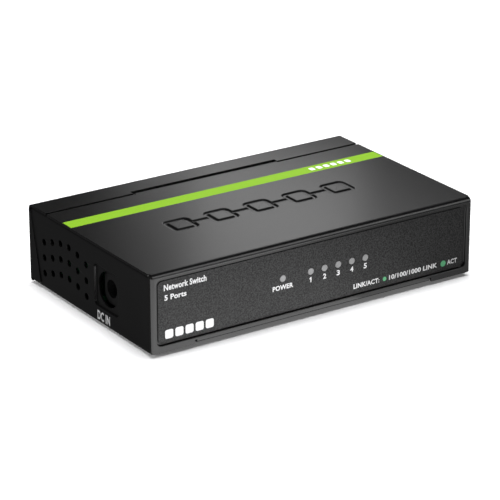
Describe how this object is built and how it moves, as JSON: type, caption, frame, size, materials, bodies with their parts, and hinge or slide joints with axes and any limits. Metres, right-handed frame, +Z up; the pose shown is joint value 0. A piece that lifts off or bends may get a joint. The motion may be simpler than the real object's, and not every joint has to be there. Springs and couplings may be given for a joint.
{
  "type": "desktop network switch",
  "caption": "Low rectangular sheet-steel network switch with a labelled front panel, indicator lights, side vents, a side power socket and network sockets at the rear.",
  "frame": {"origin": "centre of the case on the plane its feet stand on", "axes": "+X to the right as seen from the front panel, +Y from the front panel to the sockets at the rear, +Z up"},
  "size_m": [0.13, 0.0796, 0.029],
  "materials": {
    "case_paint": "semi-gloss powder coat",
    "label_film": "fine matt texture",
    "sticker": "satin",
    "foot_rubber": "matt",
    "zinc_plate": "bright zinc",
    "board": "solder mask",
    "chip_plastic": "moulded epoxy",
    "thermal_pad": "soft silicone",
    "heat_sink": "extruded",
    "tin_plate": "bright tin",
    "ferrite": "sintered",
    "capacitor_sleeve": "shrunk sleeve",
    "led_resin": "clear resin",
    "light_pipe": "moulded, hazy ends",
    "black_plastic": "moulded",
    "gold_plate": "gold plate"
  },
  "bodies": {
    "case": {"top_cover": "case_paint", "base_tray": "case_paint", "front_label": "label_film", "rating_label": "sticker", "foot_front_left": "foot_rubber", "foot_front_right": "foot_rubber", "foot_rear_left": "foot_rubber", "foot_rear_right": "foot_rubber", "cover_screw_left": "zinc_plate", "cover_screw_right": "zinc_plate", "standoff_front_left": "zinc_plate", "board_screw_front_left": "zinc_plate", "standoff_front_right": "zinc_plate", "board_screw_front_right": "zinc_plate", "standoff_rear_left": "zinc_plate", "board_screw_rear_left": "zinc_plate", "standoff_rear_right": "zinc_plate", "board_screw_rear_right": "zinc_plate", "circuit_board": "board", "switch_chip": "chip_plastic", "thermal_pad": "thermal_pad", "heat_sink": "heat_sink", "port_1_transformer": "chip_plastic", "port_2_transformer": "chip_plastic", "port_3_transformer": "chip_plastic", "port_4_transformer": "chip_plastic", "port_5_transformer": "chip_plastic", "crystal": "tin_plate", "config_memory": "chip_plastic", "voltage_regulator": "chip_plastic", "input_diode": "chip_plastic", "input_fuse": "ferrite", "power_inductor": "ferrite", "input_capacitor": "capacitor_sleeve", "output_capacitor": "capacitor_sleeve", "power_led": "led_resin", "port_1_led": "led_resin", "port_2_led": "led_resin", "port_3_led": "led_resin", "port_4_led": "led_resin", "port_5_led": "led_resin", "power_light_pipe": "light_pipe", "port_light_pipe": "light_pipe", "dc_jack_housing": "black_plastic", "dc_jack_pin": "tin_plate", "port_housing": "black_plastic", "port_shield": "tin_plate"},
    "port_1_contact_set": {"port_1_contacts": "gold_plate"},
    "port_2_contact_set": {"port_2_contacts": "gold_plate"},
    "port_3_contact_set": {"port_3_contacts": "gold_plate"},
    "port_4_contact_set": {"port_4_contacts": "gold_plate"},
    "port_5_contact_set": {"port_5_contacts": "gold_plate"},
    "jack_contact": {"dc_jack_leaf": "tin_plate"}
  },
  "joints": [
    {"name": "port_1_contact_flex", "type": "hinge", "parent": "case", "child": "port_1_contact_set", "pos_m": [0.02794, 0.037, 0.0178], "axis": [-1, 0, 0], "range_deg": [0, 9], "stiffness_Nm_per_rad": 0.4},
    {"name": "port_2_contact_flex", "type": "hinge", "parent": "case", "child": "port_2_contact_set", "pos_m": [0.01397, 0.037, 0.0178], "axis": [-1, 0, 0], "range_deg": [0, 9], "stiffness_Nm_per_rad": 0.4},
    {"name": "port_3_contact_flex", "type": "hinge", "parent": "case", "child": "port_3_contact_set", "pos_m": [0, 0.037, 0.0178], "axis": [-1, 0, 0], "range_deg": [0, 9], "stiffness_Nm_per_rad": 0.4},
    {"name": "port_4_contact_flex", "type": "hinge", "parent": "case", "child": "port_4_contact_set", "pos_m": [-0.01397, 0.037, 0.0178], "axis": [-1, 0, 0], "range_deg": [0, 9], "stiffness_Nm_per_rad": 0.4},
    {"name": "port_5_contact_flex", "type": "hinge", "parent": "case", "child": "port_5_contact_set", "pos_m": [-0.02794, 0.037, 0.0178], "axis": [-1, 0, 0], "range_deg": [0, 9], "stiffness_Nm_per_rad": 0.4},
    {"name": "jack_contact_flex", "type": "hinge", "parent": "case", "child": "jack_contact", "pos_m": [-0.04985, -0.0108, 0.018], "axis": [0, 1, 0], "range_deg": [0, 6], "stiffness_Nm_per_rad": 0.2}
  ]
}
